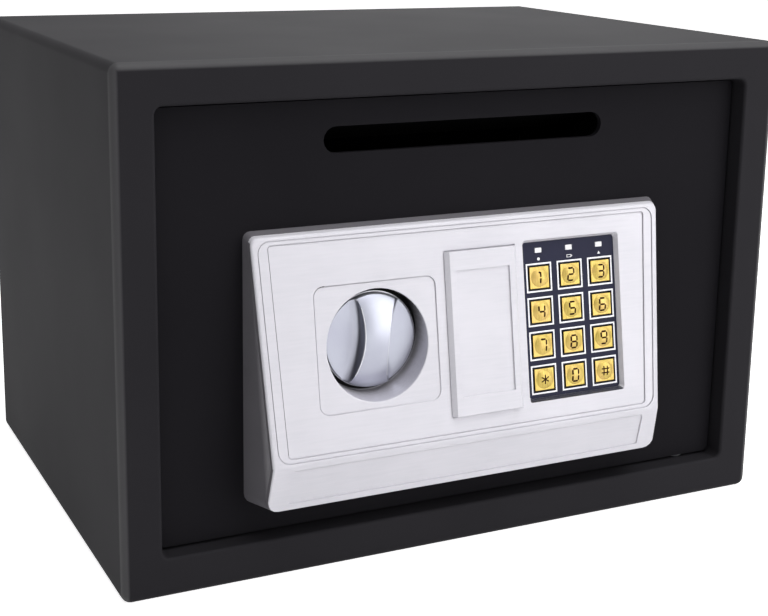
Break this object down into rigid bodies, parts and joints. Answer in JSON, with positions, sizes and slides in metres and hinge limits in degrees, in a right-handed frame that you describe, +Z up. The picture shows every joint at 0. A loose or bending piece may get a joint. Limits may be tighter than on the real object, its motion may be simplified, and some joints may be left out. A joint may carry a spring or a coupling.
{
  "type": "drop safe",
  "caption": "Small steel counter safe with a recessed door, an open deposit slot, a sloping electronic lock panel with keypad, turning knob and key cover.",
  "frame": {"origin": "centre of the cabinet's underside", "axes": "+Z up, -Y out of the front of the door, +X to the right as seen from the front"},
  "size_m": [0.35, 0.2645, 0.243],
  "materials": {
    "coat": "fine-textured charcoal powder coat",
    "door_coat": "fine-textured black powder coat",
    "felt": "dark felt",
    "steel": "turned steel",
    "zinc": "zinc-plated sheet",
    "dark_plastic": "satin dark grey moulding",
    "silver_face": "fine-brushed silver lacquer",
    "knob_metal": "satin chrome",
    "navy_plate": "gloss navy",
    "gold_key": "satin gold",
    "lamp_white": "clear white",
    "rubber": "grey silicone",
    "board": "green laminate",
    "brass": "turned brass",
    "coil": "varnished coil in its frame",
    "black_plastic": "black moulding",
    "cell_sleeve": "printed sleeve, plain",
    "red_plastic": "red push button"
  },
  "bodies": {
    "cabinet": {"body_shell": "coat", "back_panel": "coat", "floor_mat": "felt", "lower_hinge_pin": "steel", "upper_hinge_pin": "steel"},
    "door": {"door_plate": "door_coat", "lower_hinge_block": "steel", "upper_hinge_block": "steel", "deposit_chute": "door_coat", "chute_comb": "door_coat", "panel_housing": "dark_plastic", "panel_face": "silver_face", "keypad_plate": "navy_plate", "left_lamp": "lamp_white", "middle_lamp": "lamp_white", "right_lamp": "lamp_white", "keypad_membrane": "rubber", "circuit_board": "board", "lock_barrel": "steel", "lower_guide_stud": "steel", "upper_guide_stud": "steel", "bolt_bracket": "zinc", "solenoid": "coil", "plunger_spring": "steel", "mechanism_cover": "door_coat", "cover_nut_1": "steel", "cover_nut_2": "steel", "cover_nut_3": "steel", "cover_nut_4": "steel", "battery_box": "black_plastic", "battery_1": "cell_sleeve", "battery_2": "cell_sleeve", "battery_3": "cell_sleeve", "battery_4": "cell_sleeve", "reset_switch": "black_plastic"},
    "knob": {"knob": "knob_metal", "knob_spindle": "steel", "bolt_cam": "zinc"},
    "bolts": {"bolt_plate": "zinc", "lower_bolt": "steel", "upper_bolt": "steel"},
    "key_cover": {"key_cover": "silver_face"},
    "lock_plug": {"lock_plug": "brass"},
    "plunger": {"solenoid_plunger": "steel"},
    "battery_lid": {"battery_lid": "black_plastic"},
    "reset_button": {"reset_button": "red_plastic"},
    "key_1": {"key_1": "gold_key"},
    "key_2": {"key_2": "gold_key"},
    "key_3": {"key_3": "gold_key"},
    "key_4": {"key_4": "gold_key"},
    "key_5": {"key_5": "gold_key"},
    "key_6": {"key_6": "gold_key"},
    "key_7": {"key_7": "gold_key"},
    "key_8": {"key_8": "gold_key"},
    "key_9": {"key_9": "gold_key"},
    "key_star": {"key_star": "gold_key"},
    "key_0": {"key_0": "gold_key"},
    "key_hash": {"key_hash": "gold_key"}
  },
  "joints": [
    {"name": "door_swing", "type": "hinge", "parent": "cabinet", "child": "door", "pos_m": [0.136, -0.11, 0.1215], "axis": [0, 0, 1], "range_deg": [0, 100]},
    {"name": "knob_turn", "type": "hinge", "parent": "door", "child": "knob", "pos_m": [-0.0524, -0.1192, 0.10926], "axis": [0, -1, 0], "range_deg": [0, 70]},
    {"name": "bolt_slide", "type": "slide", "parent": "door", "child": "bolts", "axis": [-1, 0, 0], "range_m": [0, 0.01606]},
    {"name": "key_cover_lift", "type": "slide", "parent": "door", "child": "key_cover", "axis": [0, -0.9859, 0.1675], "range_m": [0, 0.03]},
    {"name": "lock_plug_turn", "type": "hinge", "parent": "door", "child": "lock_plug", "pos_m": [0.0036, -0.118, 0.10966], "axis": [0, 1, 0], "range_deg": [0, 90]},
    {"name": "plunger_slide", "type": "slide", "parent": "door", "child": "plunger", "axis": [0, 0, 1], "range_m": [0, 0.0045], "deforming": ["plunger_spring"]},
    {"name": "battery_lid_lift", "type": "slide", "parent": "door", "child": "battery_lid", "axis": [0, 1, 0], "range_m": [0, 0.03]},
    {"name": "reset_press", "type": "slide", "parent": "door", "child": "reset_button", "axis": [0, -1, 0], "range_m": [0, 0.0015], "stiffness_N_per_m": 300},
    {"name": "key_1_press", "type": "slide", "parent": "door", "child": "key_1", "axis": [0, 0.9859, -0.1675], "range_m": [0, 0.0008], "stiffness_N_per_m": 300},
    {"name": "key_2_press", "type": "slide", "parent": "door", "child": "key_2", "axis": [0, 0.9859, -0.1675], "range_m": [0, 0.0008], "stiffness_N_per_m": 300},
    {"name": "key_3_press", "type": "slide", "parent": "door", "child": "key_3", "axis": [0, 0.9859, -0.1675], "range_m": [0, 0.0008], "stiffness_N_per_m": 300},
    {"name": "key_4_press", "type": "slide", "parent": "door", "child": "key_4", "axis": [0, 0.9859, -0.1675], "range_m": [0, 0.0008], "stiffness_N_per_m": 300},
    {"name": "key_5_press", "type": "slide", "parent": "door", "child": "key_5", "axis": [0, 0.9859, -0.1675], "range_m": [0, 0.0008], "stiffness_N_per_m": 300},
    {"name": "key_6_press", "type": "slide", "parent": "door", "child": "key_6", "axis": [0, 0.9859, -0.1675], "range_m": [0, 0.0008], "stiffness_N_per_m": 300},
    {"name": "key_7_press", "type": "slide", "parent": "door", "child": "key_7", "axis": [0, 0.9859, -0.1675], "range_m": [0, 0.0008], "stiffness_N_per_m": 300},
    {"name": "key_8_press", "type": "slide", "parent": "door", "child": "key_8", "axis": [0, 0.9859, -0.1675], "range_m": [0, 0.0008], "stiffness_N_per_m": 300},
    {"name": "key_9_press", "type": "slide", "parent": "door", "child": "key_9", "axis": [0, 0.9859, -0.1675], "range_m": [0, 0.0008], "stiffness_N_per_m": 300},
    {"name": "key_star_press", "type": "slide", "parent": "door", "child": "key_star", "axis": [0, 0.9859, -0.1675], "range_m": [0, 0.0008], "stiffness_N_per_m": 300},
    {"name": "key_0_press", "type": "slide", "parent": "door", "child": "key_0", "axis": [0, 0.9859, -0.1675], "range_m": [0, 0.0008], "stiffness_N_per_m": 300},
    {"name": "key_hash_press", "type": "slide", "parent": "door", "child": "key_hash", "axis": [0, 0.9859, -0.1675], "range_m": [0, 0.0008], "stiffness_N_per_m": 300}
  ],
  "couplings": [
    {"joint": "knob_turn", "follows": "bolt_slide", "rad_per_m": 76.072}
  ]
}
